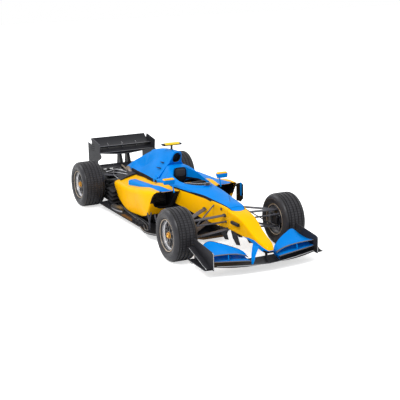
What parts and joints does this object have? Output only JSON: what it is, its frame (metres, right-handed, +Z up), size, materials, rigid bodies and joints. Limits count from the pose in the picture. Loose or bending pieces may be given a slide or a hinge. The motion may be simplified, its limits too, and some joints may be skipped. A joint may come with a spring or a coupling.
{
  "type": "open wheel racing car",
  "caption": "Single seat open wheel racing car with slim nose, sidepods, wings, exposed wishbones, steering front wheels and four free rolling wheels.",
  "frame": {"origin": "on the ground, midway between the car's front and back, on its centre plane", "axes": "+X towards the nose, +Y to the driver's left, +Z up"},
  "size_m": [4.818, 1.8, 1.0909],
  "materials": {
    "tub_paint": "gloss two tone paint over carbon",
    "nose_paint": "gloss two tone paint over carbon",
    "blue_paint": "gloss paint over carbon",
    "yellow_paint": "gloss paint over carbon",
    "pad_fabric": "flame proof cloth over foam",
    "carbon": "clear coated carbon weave",
    "wheel_grip": "suede covered grips",
    "engine_metal": "cast",
    "lamp_red": "clear red lens",
    "suspension_black": "satin carbon",
    "upright_metal": "machined",
    "shaft_steel": "ground",
    "rim_metal": "forged, dark with bright lip",
    "tyre_rubber": "grooved"
  },
  "bodies": {
    "chassis": {"monocoque": "tub_paint", "nose_cone": "nose_paint", "cockpit_surround": "blue_paint", "headrest": "pad_fabric", "seat": "carbon", "dashboard": "carbon", "engine_cover": "blue_paint", "engine_block": "engine_metal", "gearbox": "carbon", "rain_light": "lamp_red", "sidepod_left": "yellow_paint", "sidepod_right": "yellow_paint", "chimneys": "blue_paint", "floor": "carbon", "diffuser": "carbon", "bargeboards": "carbon", "nose_vanes": "carbon", "front_wing": "carbon", "front_wing_flaps": "blue_paint", "front_wing_endplates": "carbon", "front_wing_pillars": "blue_paint", "rear_wing_main": "carbon", "rear_wing_flap": "carbon", "beam_wing": "carbon", "rear_wing_endplates": "carbon", "rear_wing_pylons": "carbon", "mirrors": "blue_paint", "camera_bar": "carbon", "nose_cameras": "carbon", "front_wishbones_upper": "suspension_black", "front_wishbones_lower": "suspension_black", "pushrods": "suspension_black", "rear_uprights": "upright_metal", "rear_wishbones_upper": "suspension_black", "rear_wishbones_lower": "suspension_black", "driveshafts": "shaft_steel"},
    "steering_wheel": {"steering_wheel": "wheel_grip"},
    "upright_front_left": {"front_upright_left": "upright_metal"},
    "upright_front_right": {"front_upright_right": "upright_metal"},
    "steering_rack": {"track_rods": "suspension_black"},
    "wheel_front_left": {"rim_front_left": "rim_metal", "tyre_front_left": "tyre_rubber"},
    "wheel_front_right": {"rim_front_right": "rim_metal", "tyre_front_right": "tyre_rubber"},
    "wheel_rear_left": {"rim_rear_left": "rim_metal", "tyre_rear_left": "tyre_rubber"},
    "wheel_rear_right": {"rim_rear_right": "rim_metal", "tyre_rear_right": "tyre_rubber"}
  },
  "joints": [
    {"name": "steer_left", "type": "hinge", "parent": "chassis", "child": "upright_front_left", "pos_m": [1.43, 0.67, 0.33], "axis": [0, 0, 1], "range_deg": [-16, 16]},
    {"name": "steer_right", "type": "hinge", "parent": "chassis", "child": "upright_front_right", "pos_m": [1.43, -0.67, 0.33], "axis": [0, 0, 1], "range_deg": [-16, 16]},
    {"name": "rack_slide", "type": "slide", "parent": "chassis", "child": "steering_rack", "axis": [0, 1, 0], "range_m": [-0.0261, 0.0261]},
    {"name": "steering_wheel_turn", "type": "hinge", "parent": "chassis", "child": "steering_wheel", "pos_m": [0.74, 0, 0.6], "axis": [-0.9781, 0, 0.2079], "range_deg": [-145, 145]},
    {"name": "spin_front_left", "type": "hinge", "parent": "upright_front_left", "child": "wheel_front_left", "pos_m": [1.43, 0.75, 0.33], "axis": [0, 1, 0], "continuous": true},
    {"name": "spin_front_right", "type": "hinge", "parent": "upright_front_right", "child": "wheel_front_right", "pos_m": [1.43, -0.75, 0.33], "axis": [0, 1, 0], "continuous": true},
    {"name": "spin_rear_left", "type": "hinge", "parent": "chassis", "child": "wheel_rear_left", "pos_m": [-1.71, 0.7325, 0.33], "axis": [0, 1, 0], "continuous": true},
    {"name": "spin_rear_right", "type": "hinge", "parent": "chassis", "child": "wheel_rear_right", "pos_m": [-1.71, -0.7325, 0.33], "axis": [0, 1, 0], "continuous": true}
  ],
  "couplings": [
    {"joint": "steer_right", "follows": "steer_left", "ratio": 1},
    {"joint": "rack_slide", "follows": "steer_left", "m_per_rad": 0.09},
    {"joint": "steering_wheel_turn", "follows": "steer_left", "ratio": 9}
  ]
}
